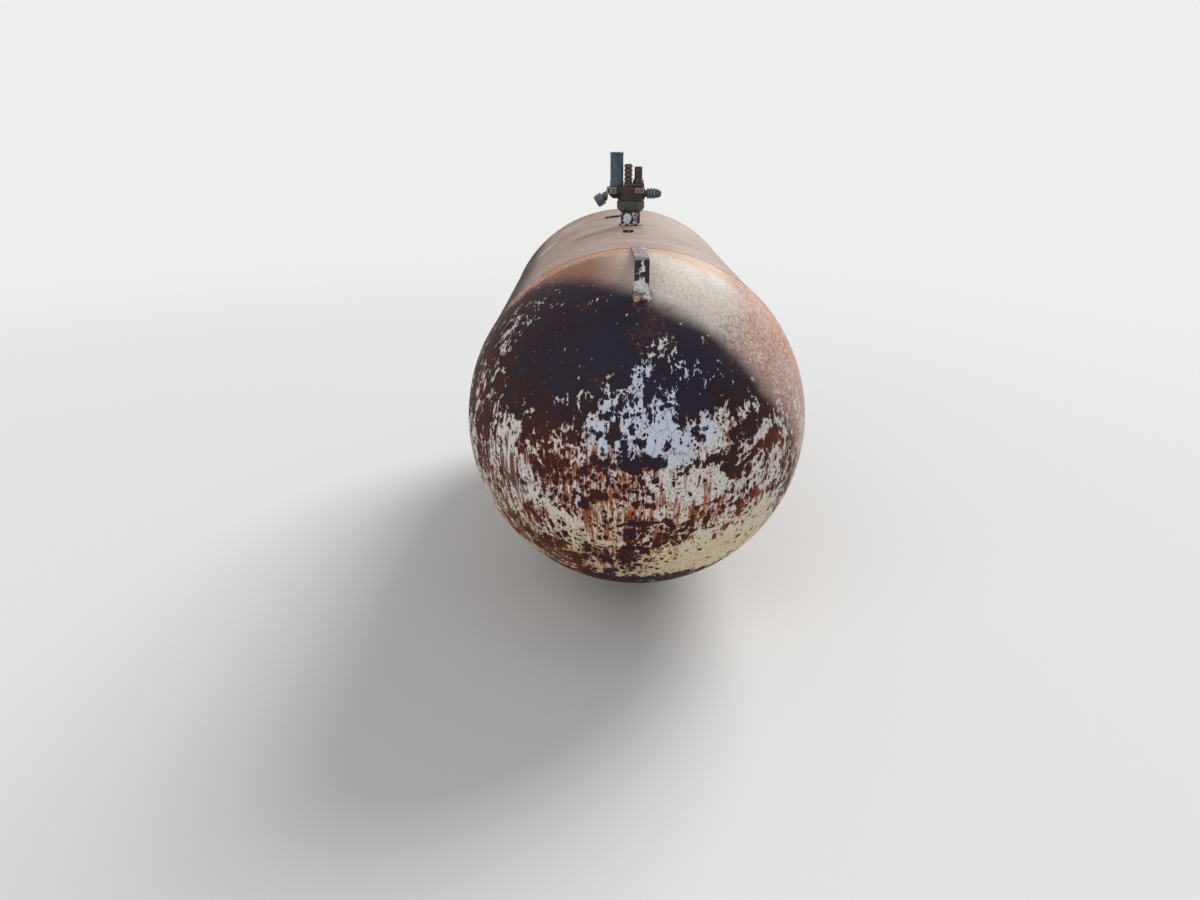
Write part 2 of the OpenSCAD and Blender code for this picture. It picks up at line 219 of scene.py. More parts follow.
def new_tree(name, kind, inputs, outputs):
    """A node tree with named sockets, each given by its starting value or else by its kind. Gives
    back the tree, what goes into it, and the sockets that it gives out by."""
    tree = bpy.data.node_groups.new(name, kind)
    kinds = {float: "Float", int: "Int", tuple: "Vector"}
    for in_out, sockets in (("INPUT", inputs), ("OUTPUT", outputs)):
        for label, start in sockets.items():
            socket_kind = kinds.get(type(start), start)
            socket = tree.interface.new_socket(label, in_out=in_out,
                socket_type="NodeSocket" + socket_kind)
            if socket_kind != start:
                socket.default_value = start
    given = tree.nodes.new("NodeGroupInput").outputs
    made = tree.nodes.new("NodeGroupOutput").inputs
    return tree, {label: Field(tree, given[label]) for label in inputs}, made


def close_tree(tree, made, **results):
    """Feeds what a tree gives out. A socket's name has a line under each gap between its words."""
    for name, value in results.items():
        feed(tree, made[name.replace("_", " ")], value)
    return tree


def along(tree, operation, *values, output=0):
    """One step of vector arithmetic."""
    return node(tree, "ShaderNodeVectorMath", dict(enumerate(values)), output, operation=operation)


def scaled(tree, vector, amount):
    """A vector made longer or shorter."""
    return node(tree, "ShaderNodeVectorMath", {0: vector, "Scale": amount}, operation="SCALE")


def parts(tree, vector):
    """The three numbers of a vector."""
    apart = tree.nodes.new("ShaderNodeSeparateXYZ")
    feed(tree, apart.inputs[0], vector)
    return [Field(tree, socket) for socket in apart.outputs]


def finish_form(tree, made, form, material):
    """The end of every geometry tree: soft shading, plain mesh and material."""
    form = node(tree, "GeometryNodeSetShadeSmooth", {0: form})
    form = node(tree, "GeometryNodeRealizeInstances", {"Geometry": form})
    form = node(tree, "GeometryNodeSetMaterial", {"Geometry": form, "Material": material})
    return close_tree(tree, made, Geometry=form)


def finish_plate(tree, given, made, form, off_seam):
    """Gives a plate its slight unevenness, which fades to nothing at its seams, and its place."""
    place = node(tree, "GeometryNodeInputPosition")
    dents = node(tree, "ShaderNodeTexNoise", {"Scale": 3.2, "Detail": 2.0,
        "Vector": along(tree, "ADD", place, given["Seed"])})
    inward = dents.between(0.3, 0.75) * given["Unevenness"] * off_seam
    shift = scaled(tree, along(tree, "NORMALIZE", place), inward * -1.0)
    form = node(tree, "GeometryNodeSetPosition", {"Geometry": form, "Offset": shift})
    form = node(tree, "GeometryNodeTransform", {"Geometry": form, "Rotation": given["Turn"],
        "Translation": given["Middle"]})
    return finish_form(tree, made, form, given["Material"])


plate_sockets = {"Geometry": "Geometry", "Radius": tank_radius, "Rim": seam_gap, "Steps": 112,
    "Unevenness": unevenness, "Seed": (0, 0, 0), "Turn": "Rotation", "Middle": (0, 0, 0),
    "Material": "Material"}


def pressed_head_tree():
    """Half of a cube blown up to a ball, so that its faces are even and it has no pole."""
    tree, given, made = new_tree("pressed_head", "GeometryNodeTree", plate_sockets,
        {"Geometry": "Geometry"})
    steps = given["Steps"] + 1.0
    cube = node(tree, "GeometryNodeMeshCube", {"Size": (2, 2, 2), "Vertices X": steps,
        "Vertices Y": steps, "Vertices Z": steps})
    place = node(tree, "GeometryNodeInputPosition")
    across, length, height = parts(tree, place)
    quarter = along(tree, "MULTIPLY", place, (math.pi / 4,) * 3)
    ball = scaled(tree, along(tree, "NORMALIZE", along(tree, "TANGENT", quarter)), given["Radius"])
    form = node(tree, "GeometryNodeSetPosition", {"Geometry": cube, "Position": ball})
    behind = node(tree, "FunctionNodeCompare", {0: length, 1: 0.0}, data_type="FLOAT",
        operation="GREATER_THAN")
    form = node(tree, "GeometryNodeDeleteGeometry", {"Geometry": form, "Selection": behind},
        domain="FACE")
    trimmed = node(tree, "ShaderNodeCombineXYZ", {0: across,
        1: length.lower(given["Rim"] * -1.0), 2: height})
    form = node(tree, "GeometryNodeSetPosition", {"Geometry": form, "Position": trimmed})
    return finish_plate(tree, given, made, form, length.smooth(-0.02, -0.10))


def rolled_shell_tree():
    """A tube without ends, whose length lies along the tank."""
    tree, given, made = new_tree("rolled_shell", "GeometryNodeTree", plate_sockets,
        {"Geometry": "Geometry"})
    tube = node(tree, "GeometryNodeMeshCylinder", {"Vertices": given["Steps"] * 2.0,
        "Side Segments": given["Steps"], "Radius": given["Radius"],
        "Depth": (seam_y - given["Rim"]) * 2.0}, fill_type="NONE")
    form = node(tree, "GeometryNodeTransform", {"Geometry": tube,
        "Rotation": (math.radians(90), 0, 0)})
    length = parts(tree, node(tree, "GeometryNodeInputPosition"))[1]
    off_seam = length.math("ABSOLUTE").smooth(seam_y - 0.02, seam_y - 0.10)
    return finish_plate(tree, given, made, form, off_seam)


def baked(rough):
    """The plain mesh that a piece's modifiers give, in a new piece that takes its place."""
    name = rough.name
    depsgraph = bpy.context.evaluated_depsgraph_get()
    mesh = bpy.data.meshes.new_from_object(rough.evaluated_get(depsgraph), depsgraph=depsgraph)
    bpy.data.objects.remove(rough)
    mesh.name = name
    return placed(name, mesh)


def grown(name, tree, values, start=None, thickness=0.0):
    """What a geometry tree makes, as a plain mesh, with a wall if one is asked for."""
    seed = placed(name, start or bpy.data.meshes.new(name))
    maker = seed.modifiers.new("make", "NODES")
    maker.node_group = tree
    for item in tree.interface.items_tree:
        if item.in_out == "INPUT" and item.name in values:
            maker[item.identifier] = values[item.name]
    if thickness:
        wall = seed.modifiers.new("wall", "SOLIDIFY")
        wall.thickness, wall.offset = thickness, -1
    return baked(seed)


def fit(piece, material, slot, *nodes):
    """Gives a finished piece its material and its body, and lets it stand for CAD nodes."""
    piece.data.materials.clear()
    piece.data.materials.append(material)
    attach(piece, "root")
    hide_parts(*nodes)


def noise(tree, place, scale, detail=4.0, roughness=0.55, distortion=0.0):
    """Cloudy noise, stretched to run from about 0 to 1."""
    return node(tree, "ShaderNodeTexNoise", {"Vector": place, "Scale": scale, "Detail": detail,
        "Roughness": roughness, "Distortion": distortion}).between(0.25, 0.75)


def stretched(tree, place, amounts):
    """A place with each of its three numbers multiplied by its own amount."""
    return along(tree, "MULTIPLY", place, amounts)


def cells(tree, place, scale):
    """Random cells: how far a point is from its cell's middle, and the cell's own random value."""
    made = tree.nodes.new("ShaderNodeTexVoronoi")
    feed(tree, made.inputs["Vector"], place)
    feed(tree, made.inputs["Scale"], scale)
    value = parts(tree, Field(tree, made.outputs["Color"]))[0]
    return Field(tree, made.outputs["Distance"]), value


def tank_place_group():
    """Where a point lies on the tank: across, past the seam, above the axis, how far it faces the
    sun, the side on which the material paints sunlight and sheen with its dust, and a place that
    stays the same across all the way down a water run."""
    tree, given, made = new_tree("tank_place", "ShaderNodeTree", {"Position": "Vector"}, {
        "Across": "Float", "Past seam": "Float", "Above axis": "Float", "Weather side": "Float",
        "Down the run": "Vector", "Near end": "Float"})
    across, length, height = parts(tree, given["Position"])
    above = height - axis_z
    on_shell = length.higher(-seam_y).lower(seam_y)
    past = length.math("ABSOLUTE") - seam_y
    near_reach = (length + seam_y).lower(0.0)
    sun_x, sun_y, sun_z = sun_toward
    sun_facing = across * sun_x + near_reach * sun_y + above * sun_z
    turn = across.math("ARCTAN2", past.higher(0.0))
    run = node(tree, "ShaderNodeCombineXYZ", {0: turn * tank_radius + on_shell,
        1: length.math("SIGN"), 2: above})
    return close_tree(tree, made, Across=across, Past_seam=past, Above_axis=above,
        Weather_side=sun_facing * (1 / tank_radius), Down_the_run=run,
        Near_end=length.between(-0.3, -0.7))


def rust_and_shade_coat_group():
    """The smooth oxide coat of old bare plate: dark brown, with painted bluish shade in its darkest
    purple tones, redder and rougher in places.
    """
    tree, given, made = new_tree("rust_and_shade_coat", "ShaderNodeTree",
        {"Position": "Vector", "Redness": 0.4},
        {"Color": "Color", "Roughness": "Float", "Height": "Float"})
    place = given["Position"]
    mottle = noise(tree, place, 30, detail=7, roughness=0.66)
    grit = noise(tree, place, 330, detail=3, roughness=0.7)
    redness = (given["Redness"] + (noise(tree, place, 5) - 0.5) * 0.45
        + (mottle - 0.5) * 0.62 + (grit - 0.5) * 0.16).held()
    colour = node(tree, "ShaderNodeValToRGB", {"Fac": redness})
    ramp = colour.socket.node.color_ramp.elements
    # The two darkest, bluish purple stops are the oxide's dark brown with painted shade in it; the
    # redder stops are its own colour.
    ramp[0].position, ramp[0].color = 0.10, tint("#251f2f")
    ramp[1].position, ramp[1].color = 1.00, tint("#9c5a3c")
    for stop, code in ((0.35, "#2d1d24"), (0.60, "#42221c"), (0.82, "#693525")):
        ramp.new(stop).color = tint(code)
    return close_tree(tree, made,
        Color=(grit * 0.5).mix(colour, (0.35, 0.35, 0.35, 1), "MULTIPLY"),
        Roughness=redness * 0.35 + grit * 0.15 + 0.42, Height=mottle * 0.7 + grit * 0.3)


def flaking_paint_group():
    """Where old paint still holds. Bites of three sizes eat into it as blisters do, and leave
    ragged islands where they meet. Brittle paint breaks into angular plates, weathered paint into
    upright flakes."""
    tree, given, made = new_tree("flaking_paint", "ShaderNodeTree",
        {"Position": "Vector", "Down the run": "Vector", "Cover": 0.5, "Plates": 0.0,
         "Upright": 0.0, "Spots": 0.0},
        {"Paint": "Float", "Stained edge": "Float", "Cracks": "Float", "Height": "Float"})
    place = bent = given["Position"]
    for scale, detail, reach in ((24.0, 3.0, 0.030), (130.0, 2.0, 0.008)):
        bend = node(tree, "ShaderNodeTexNoise", {"Vector": place, "Scale": scale,
            "Detail": detail}, 1)
        bent = along(tree, "ADD", bent, stretched(tree, bend, (reach,) * 3))
    tall = stretched(tree, bent, (1, 1, 0.60))
    patches = 0.5 - noise(tree, tall, 23, detail=5, roughness=0.68)
    loss = patches * 1.15 - given["Cover"] * 1.35 + 1.45
    reeds = noise(tree, stretched(tree, given["Down the run"], (90, 3, 26)), 1, roughness=0.62)
    loss = loss + (0.5 - reeds) * (given["Upright"] * 1.4 + 0.45)
    coarse_far, coarse_value = cells(tree, tall, 36)
    coarse = coarse_far - (loss - coarse_value * 0.8 + 0.02) * 0.9
    angular = coarse_value * 1.1 - loss + 0.05
    edge = (angular.lower(coarse + 0.06) - coarse) * given["Plates"] + coarse
    pitted = stretched(tree, bent, (1, 1, 0.85))
    crowd = loss * 0.7 + 0.24 + given["Spots"]
    for scale, share, reach in ((62, 1.00, 0.46), (125, 0.80, 0.24)):
        pit_far, pit_value = cells(tree, pitted, scale)
        here = crowd * share - pit_value
        rim = pit_far - here.smooth(0.0, 0.6) * 0.45 - here.between(0.0, 0.04) * 0.15
        edge = edge.lower(rim * reach)
    crack_far = node(tree, "ShaderNodeTexVoronoi", {"Vector": tall, "Scale": 25.0},
        feature="DISTANCE_TO_EDGE")
    return close_tree(tree, made, Paint=edge.between(-0.008, 0.008),
        Stained_edge=edge.smooth(0.13, 0.0), Cracks=crack_far.between(0.030, 0.010),
        Height=edge.between(-0.02, 0.03))


def rust_runs_group():
    """Thin streaks that water has drawn down the plate."""
    tree, given, made = new_tree("rust_runs", "ShaderNodeTree",
        {"Down the run": "Vector", "Amount": 0.3}, {"Runs": "Float"})
    thin, broad = [noise(tree, stretched(tree, given["Down the run"], amounts), 1,
        roughness=roughness, distortion=0.5)
        for amounts, roughness in (((150, 3, 11), 0.58), ((30, 3, 9), 0.60))]
    streak = thin * 0.60 + broad * 0.60 - 0.1 + given["Amount"] - 1.0
    return close_tree(tree, made, Runs=streak.smooth(0.0, 0.15))


def shader_group(tree, group, inputs):
    """Places a node group in a material's tree, and gives back all that it gives out."""
    made = tree.nodes.new("ShaderNodeGroup")
    made.node_tree = group
    for name, value in inputs.items():
        feed(tree, made.inputs[name], value)
    return {socket.name: Field(tree, socket) for socket in made.outputs}


tank_place = tank_place_group()
rust_and_shade_coat = rust_and_shade_coat_group()
flaking_paint = flaking_paint_group()
rust_runs = rust_runs_group()

# Patches on a head, in millimetres: right of the axis, above it, half width and half height. Then
# come the turn in degrees and the strength in percent. Kept is paint that holds on, bare is where
# it is gone, plates is brittle paint, blooms is scabby rust and runs is where rust ran down.
near_wear = {
    "kept": [
        (-10, 120, 150, 80, 0, 56), (110, 100, 90, 70, 0, 34), (10, 125, 85, 55, 0, 36),
        (20, 172, 90, 28, 0, 34), (-55, 85, 35, 35, 0, 30), (34, 290, 100, 45, 0, 66),
        (50, 232, 110, 40, 10, 62), (-60, 225, 60, 50, 0, 54), (-150, 170, 70, 35, 0, 66),
        (-190, 70, 90, 60, 0, 40), (260, 120, 120, 70, 0, 70), (-320, 360, 90, 42, 42, 42),
        (-376, 285, 50, 50, 0, 36), (-435, 180, 50, 90, 0, 30), (-372, 25, 36, 85, 0, 54),
        (-300, 110, 30, 50, 0, 22), (-345, -70, 40, 80, 0, 30), (410, 120, 85, 120, 0, 28),
        (142, 10, 95, 80, 0, 26), (110, -80, 100, 70, 0, 22), (-60, -160, 150, 60, 0, 26),
        (240, -270, 210, 95, 24, 24)],
    "bare": [
        (-213, 5, 80, 24, 12, 38), (-450, 30, 50, 120, 0, 42), (-126, -69, 40, 22, 0, 50),
        (-44, 50, 24, 30, 12, 36), (55, 50, 22, 32, -10, 36), (6, 18, 56, 14, 0, 40),
        (-290, 50, 50, 90, 0, 25), (-9, -153, 24, 50, 0, 30), (-27, -242, 36, 80, -14, 50),
        (-110, -270, 50, 40, 0, 34), (0, -440, 290, 100, 0, 60), (-240, -290, 80, 80, 0, 40),
        (440, -20, 60, 120, 0, 14), (281, 95, 65, 30, 35, 55), (350, 50, 60, 34, 20, 50),
        (228, 26, 68, 12, 8, 80), (275, 0, 52, 13, 16, 80), (105, 20, 36, 22, 20, 45),
        (330, -112, 110, 12, 0, 45), (150, -140, 95, 9, 62, 60), (45, -154, 110, 7, 0, 55),
        (-200, -110, 50, 45, 0, 22)],
    "plates": [(10, 120, 170, 95, 0, 100), (50, 250, 120, 70, 0, 100)],
    "blooms": [
        (17, 398, 55, 26, 0, 100), (50, 345, 36, 50, 0, 70), (-150, 399, 18, 26, 0, 90),
        (-20, 330, 40, 26, 0, 50), (-120, 245, 30, 22, 0, 40), (270, 300, 80, 80, 0, 90)],
    "runs": [
        (-130, 10, 170, 120, 0, 100), (30, -130, 230, 110, 0, 90), (-370, -130, 120, 240, 0, 70),
        (440, 0, 70, 200, 0, 70), (220, 80, 110, 90, 0, 70), (-80, -300, 200, 70, 0, 80)]}
far_wear = {
    "kept": [
        (120, 180, 120, 60, 10, 36), (-160, 130, 80, 90, 0, 34), (360, 230, 80, 70, 0, 36),
        (-420, 140, 60, 110, 0, 34)],
    "bare": [
        (50, -60, 110, 40, -14, 70), (-230, -130, 90, 30, 20, 60), (260, -210, 70, 50, 0, 60),
        (0, -430, 240, 80, 0, 60)],
    "plates": [(120, 180, 150, 80, 0, 100)]}


def rise(value, low, high):
    """0 at low and 1 at high, smoothly."""
    share = np.clip((value - low) / (high - low), 0, 1)
    return share * share * (3 - 2 * share)


def patch(place, end, spot):
    """A spot's strength in an ellipse that lies on a head, falling to 0 round its edge."""
    across, above, wide, high = [size / 1000 for size in spot[:4]]
    turn, strength = spot[4], spot[5] / 100
    past = math.sqrt(tank_radius ** 2 - across ** 2 - above ** 2)
    outward = Vector((across, end * past, above))
    facing = outward.to_track_quat("-Y", "Z") @ Quaternion((0, 1, 0), math.radians(-turn))
    local = (place - np.array(outward)) @ np.array(facing.to_matrix())
    return strength * rise(np.linalg.norm(local / (wide, 0.15, high), axis=1), 1.35, 0.65)


def mark_wear(piece, end, kept=(), bare=(), plates=(), runs=(), blooms=()):
    """Writes on a piece's points how far the paint covers, where it is in plates, where it ran and
    where rust has bloomed. The end is -1 on the near head, 1 on the far head and 0 between."""
    places = [v.co for v in piece.data.vertices]

    points = np.array(places)
    place = points - (0, end * seam_y, axis_z)
    drift.seed_set(1)
    waver = np.array([drift.noise_vector(co * 14) for co in places])
    ragged = place + waver * 0.045

    def all_of(spots):
        """The strength of all the spots together, with edges as ragged as the flakes."""
        return sum(patch(ragged, end, spot) for spot in spots)

    def cloudy(scale, shift, rough, finer, octaves):
        """Cloudy noise on every point."""
        return np.array([drift.fractal(co * scale + Vector((shift, 0, 0)), rough, finer, octaves)
            for co in places])

    patchy = cloudy(6, 0, 0.8, 2.0, 3)
    broad, blotch, weep = [cloudy(scale, shift, 0.7, 2.1, 4)
        for scale, shift in ((2.2, 3), (5.0, 11), (3.2, 23))]
    side, above = np.abs(place[:, 0]), place[:, 2]
    off_near_head = rise(points[:, 1], -seam_y - 0.25, -seam_y + 0.05)
    low = rise(above + broad * 0.16 * off_near_head, *paint_line)
    flank = rise(side, 0.28, 0.44) * rise(above, 0.36, 0.10)
    cover = np.maximum(low * 0.90, flank * 0.48 + low * 0.40) - 0.18 + patchy * 0.12
    cover += off_near_head * (blotch * 0.45 - 0.04)
    fields = {
        "paint_cover": cover + all_of(kept) - all_of(bare),
        "paint_plates": all_of(plates),
        "rust_runs": all_of(runs) + off_near_head * rise(weep, -0.05, 0.30) * 0.9,
        "rust_blooms": all_of(blooms) + off_near_head * rise(blotch, 0.05, 0.35) * 0.8}
    for name, values in fields.items():
        attribute = piece.data.attributes.new(name, "FLOAT", "POINT")
        attribute.data.foreach_set("value",
            np.broadcast_to(values, len(points)).astype(np.float32))


def surface(tree, shader, colour, roughness, relief, relief_height, specular):
    """Feeds a Principled shader, and lets the relief stand out as a bump so many metres high."""
    feed(tree, shader.inputs["Base Color"], colour)
    feed(tree, shader.inputs["Roughness"], roughness)
    shader.inputs["Specular IOR Level"].default_value = specular
    feed(tree, shader.inputs["Normal"], node(tree, "ShaderNodeBump", {
        "Distance": relief_height, "Height": relief}))


def tank_paint_material():
    """The oxide coat, whose darkest bluish tone is painted shade, with dust and painted sunlight
    and sheen on the side toward the sun, and over it what is left of the paint.
    """
    material, tree, shader = new_material("tank_paint_and_rust")

    def marked(name):
        """A field that mark_wear wrote on the piece."""
        return node(tree, "ShaderNodeAttribute", output="Fac", attribute_name=name)

    position = node(tree, "ShaderNodeTexCoord", output="Object")
    where = shader_group(tree, tank_place, {"Position": position})
    across, above, past_seam = where["Across"], where["Above axis"], where["Past seam"]
    side, run = across.math("ABSOLUTE"), where["Down the run"]
    cover = marked("paint_cover")
    plates = marked("paint_plates").held()
    rusty = marked("rust_runs").held()
    blooms = marked("rust_blooms").held()
    under_right = above.smooth(-0.15, -0.30) * across.smooth(0.0, 0.2)
    coat = shader_group(tree, flaking_paint, {"Position": position, "Down the run": run,
        "Cover": cover, "Plates": plates,
        "Upright": side.smooth(0.22, 0.38).higher(above.smooth(-0.15, 0.05) * 0.5),
        "Spots": rusty * 0.12 + plates * 0.34 - under_right * 0.08})
    rust = shader_group(tree, rust_and_shade_coat, {"Position": position,
        "Redness": side.smooth(0.02, 0.36) * 0.34 + above.smooth(0.34, -0.20) * 0.42 + 0.08})

    # Dust and painted sunlight on the side toward the sun, in the colour of its place: greyish on
    # the shell and lighter to its right, and on the right of the near head a pale painted sheen.
    grain = noise(tree, stretched(tree, run, (60, 2, 16)), 1, detail=5, roughness=0.6)
    speck = noise(tree, position, 120, roughness=0.7)
    patchy = noise(tree, position, 7, detail=5, roughness=0.6)
    sun_facing = (where["Weather side"]
        + (noise(tree, position, 6, detail=3) - 0.5) * 0.06).smooth(0.0, 0.16)
    on_head = past_seam.smooth(-0.004, 0.004)
    head_side = across + (patchy - 0.5) * (1.0 - where["Near end"]) * 0.5
    head_dust_and_sheen = head_side.smooth(-0.16, 0.05).mix("#8c6350", "#ece6d8")
    shell_dust_and_sunlight = (patchy * 0.7 + across.smooth(-0.3, 0.4) * 0.3).mix("#94796b", "#cfbfb0")
    dust_and_sunlight_colour = (grain * 0.45).mix(on_head.mix(shell_dust_and_sunlight, head_dust_and_sheen), "#7d6052")
    # How much of the dust and painted sunlight shows, most on the side toward the sun.
    dust = sun_facing * (grain * 0.50 + speck * 0.55 + 0.32).held()
    colour = dust.mix(rust["Color"], dust_and_sunlight_colour)

    # A tan crust beside the girth weld, on the top and wider on the right, partly painted sunlight
    # where the sun grazes the top.
    right = across.held()
    seam_band = (past_seam - right * 0.28).smooth(0.115, 0.0) * past_seam.smooth(-0.03, 0.0)
    seam_band = seam_band * (above + right * 0.4).smooth(0.22, 0.46)
    crust_and_sunlight = (seam_band * 0.8 + speck * 0.6 + patchy * 0.7 - 0.90).smooth(-0.12, 0.25)
    crust_and_sunlight_colour = speck.mix(across.smooth(-0.10, 0.15).mix("#9a5f3e", "#a88868"), "#d9b894")
    colour = (crust_and_sunlight * seam_band.smooth(0.0, 0.15) * 0.75).mix(colour, crust_and_sunlight_colour)

    # Scabs and pale flecks of old primer on the flanks, on blooms of rust and on the upper head.
    # The light red scabs on the side toward the sun are partly painted sunlight.
    flaky_sunlit_side = side.smooth(0.20, 0.36) * sun_facing * on_head
    scabs = noise(tree, position, 85, detail=5, roughness=0.75)
    scabby_and_sunlit = (flaky_sunlit_side + sun_facing * on_head * 0.22).held()
    colour = (scabby_and_sunlit * (scabs * 1.5 + patchy * 0.5 - 0.40).held()).mix(colour, "#9c5f50")
    colour = (blooms * scabs.smooth(0.40, 0.70) * 0.60).mix(colour, "#6b4340")
    upper_shade = on_head * above.smooth(0.02, 0.16) * across.smooth(0.05, -0.25)
    flecks = (speck * 0.5 + scabs * 0.5 + flaky_sunlit_side * 0.28 + blooms * 0.14
        + upper_shade * 0.08).smooth(0.82, 0.91)
    flecked = flaky_sunlit_side.higher(blooms).higher(sun_facing * 0.45).higher(seam_band)
    flecked = flecked.higher(upper_shade * 0.7)
    colour = (flecks * flecked).mix(colour, "#dcb9a6")

    # Two long pale scrapes on the shell. Each runs between two points, across and along the tank.
    length = parts(tree, position)[1]
    for start, end, width in (((-0.350, 0.100), (-0.282, 0.182), 0.0145),
            ((-0.262, 0.475), (-0.190, 0.405), 0.0100)):
        reach = math.dist(start, end)
        step_x, step_y = (end[0] - start[0]) / reach, (end[1] - start[1]) / reach
        aside, behind = across - start[0], length - start[1]
        off_line = (aside * step_y - behind * step_x).math("ABSOLUTE")
        on_line = aside * step_x + behind * step_y
        scrape = (width - off_line - speck * width * 0.8).between(0.0, 0.002)
        scrape = scrape * on_line.smooth(-0.01, 0.01) * on_line.smooth(reach + 0.01, reach - 0.01)
        scrape = scrape * above.smooth(0.30, 0.32)
        colour = (scrape * 0.85).mix(colour, "#e8eaee")

    # Light specks on the shaded plate.
    grain_far, grain_value = cells(tree, position, 75)
    specks = (grain_value.between(0.90, 1.0) * 0.22 - grain_far).between(0.0, 0.03)
    colour = (specks * (1.0 - sun_facing) * 0.8).mix(colour, "#9c8580")

    # The paint: blue-white in plates, cream below, stained at its edges and crossed by rust runs.
    paint_colour = (plates * 0.9).mix("#d6d4ce", "#c3cfe6")
    paint_colour = (above.smooth(-0.06, -0.30) * 0.9).mix(paint_colour, "#dccaa2")
    bleed = noise(tree, stretched(tree, position, (1, 1, 0.45)), 26, detail=5, roughness=0.62)
    paint_colour = (bleed * 0.35).mix(paint_colour, "#b2a68f")
    stain = coat["Stained edge"] * (bleed + 0.3) + bleed.smooth(0.60, 0.9) * rusty * 0.5
    stain = stain * (1.0 - plates * 0.8) * (rusty * 0.90 + 0.45)
    paint_colour = stain.held().mix(paint_colour, "#7d3c1c")
    run_amount = (rusty * 0.25 + above.smooth(*paint_line) * 0.33
        - above.smooth(-0.1, -0.3) * across.smooth(-0.05, 0.15) * 0.15
        + side.smooth(0.25, 0.45) * 0.05)
    runs = shader_group(tree, rust_runs, {"Down the run": run, "Amount": run_amount})["Runs"]
    run_light = noise(tree, position, 16, detail=3) - side.smooth(0.15, 0.40) * 0.6
    run_colour = run_light.held().mix("#4f2616", "#a8541f")
    paint_colour = (runs * 0.92).mix(paint_colour, run_colour)
    paint_colour = (coat["Cracks"] * plates * 0.6).mix(paint_colour, "#6d5a4c")

    paint = coat["Paint"]
    surface(tree, shader, paint.mix(colour, paint_colour),
        rust["Roughness"] * (1.0 - paint) + paint * 0.55,
        coat["Height"] * 0.7 + rust["Height"] * 0.3, relief_height=0.0012, specular=0.14)
    return material


tank_paint = tank_paint_material()
head_tree = pressed_head_tree()
for head_name, end, turn, seed, wear in (("near_head", -1, 0, (3.1, 0.4, 1.7), near_wear),
        ("far_head", 1, math.pi, (7.3, 5.2, 2.9), far_wear)):
    head = grown(head_name + "_plate", head_tree, {"Middle": (0, end * seam_y, axis_z),
        "Turn": (0, 0, turn), "Seed": seed, "Material": tank_paint}, thickness=plate)
    mark_wear(head, end, **wear)
    fit(head, tank_paint, "tank_paint", head_name)
shell = grown("shell_plate", rolled_shell_tree(), {"Middle": (0, 0, axis_z),
    "Seed": (0.6, 8.1, 4.4), "Material": tank_paint}, thickness=plate)
mark_wear(shell, 0)
fit(shell, tank_paint, "tank_paint", "shell")


# Girth welds and lengthwise seam. Each is a run of weld metal with a low rippled crown, laid by
# hand between two bevelled plates, and it wears the same paint and rust as the plates beside it.
seam_bead = {"Width": 0.015, "Crown": 0.0019, "Ripple": 0.0003, "Pitch": 0.007}
seam_turn = math.radians(55)


def weld_bead_tree():
    """A rippled bead along a curve. It is as wide as asked, and its crown is flattened towards the
    tank, whose axis runs from one head's middle to the other's."""
    tree, given, made = new_tree("weld_bead", "GeometryNodeTree",
        {"Geometry": "Geometry", "Width": 0.015, "Crown": 0.002, "Ripple": 0.0006,
         "Pitch": 0.007, "Seed": 0.0, "Material": "Material"}, {"Geometry": "Geometry"})
    pitch, width = given["Pitch"], given["Width"]
    path = node(tree, "GeometryNodeResampleCurve", {"Curve": given["Geometry"],
        "Length": pitch * 0.25}, mode="LENGTH")
    place = node(tree, "GeometryNodeInputPosition")
    path = node(tree, "GeometryNodeStoreNamedAttribute", {0: path, "Name": "middle",
        "Value": place}, data_type="FLOAT_VECTOR", domain="POINT")
    path = node(tree, "GeometryNodeStoreNamedAttribute", {0: path, "Name": "walked",
        "Value": node(tree, "GeometryNodeSplineParameter", output="Length")},
        data_type="FLOAT", domain="POINT")
    profile = node(tree, "GeometryNodeCurvePrimitiveCircle", {"Resolution": 10,
        "Radius": width * 0.5})
    bead = node(tree, "GeometryNodeCurveToMesh", {"Curve": path, "Profile Curve": profile,
        "Fill Caps": True})
    middle = node(tree, "GeometryNodeInputNamedAttribute", {"Name": "middle"},
        data_type="FLOAT_VECTOR")
    walked = node(tree, "GeometryNodeInputNamedAttribute", {"Name": "walked"}, data_type="FLOAT")
    out = along(tree, "SUBTRACT", place, middle)
    beside = node(tree, "ShaderNodeClamp", {"Value": parts(tree, middle)[1], "Min": -seam_y,
        "Max": seam_y})
    axis = node(tree, "ShaderNodeCombineXYZ", {1: beside, 2: axis_z})
    up = along(tree, "NORMALIZE", along(tree, "SUBTRACT", middle, axis))
    over = along(tree, "DOT_PRODUCT", out, up, output=1)
    flat = 1.0 - given["Crown"].math("DIVIDE", width * 0.5)
    lower = scaled(tree, up, over * flat * -1.0)
    wobble = node(tree, "ShaderNodeTexNoise", {"Vector": place, "Scale": 90.0,
        "W": given["Seed"]}, noise_dimensions="4D") - 0.5
    wave = (walked.math("DIVIDE", pitch) * math.tau + wobble * 5.0).math("SINE")
    swell = scaled(tree, along(tree, "NORMALIZE", out),
        (wave * 0.5 + wobble * 2.0) * given["Ripple"])
    bead = node(tree, "GeometryNodeSetPosition", {"Geometry": bead,
        "Offset": along(tree, "ADD", lower, swell)})
    return finish_form(tree, made, bead, given["Material"])


def paths(name, *runs, closed=False):
    """A curve of straight-sided runs through the given points."""
    curve = bpy.data.curves.new(name, "CURVE")
    curve.dimensions = "3D"
    for points in runs:
        spline = curve.splines.new("POLY")
        spline.points.add(len(points) - 1)
        for target, point in zip(spline.points, points):
            target.co = (*point, 1)
        spline.use_cyclic_u = closed
    return curve


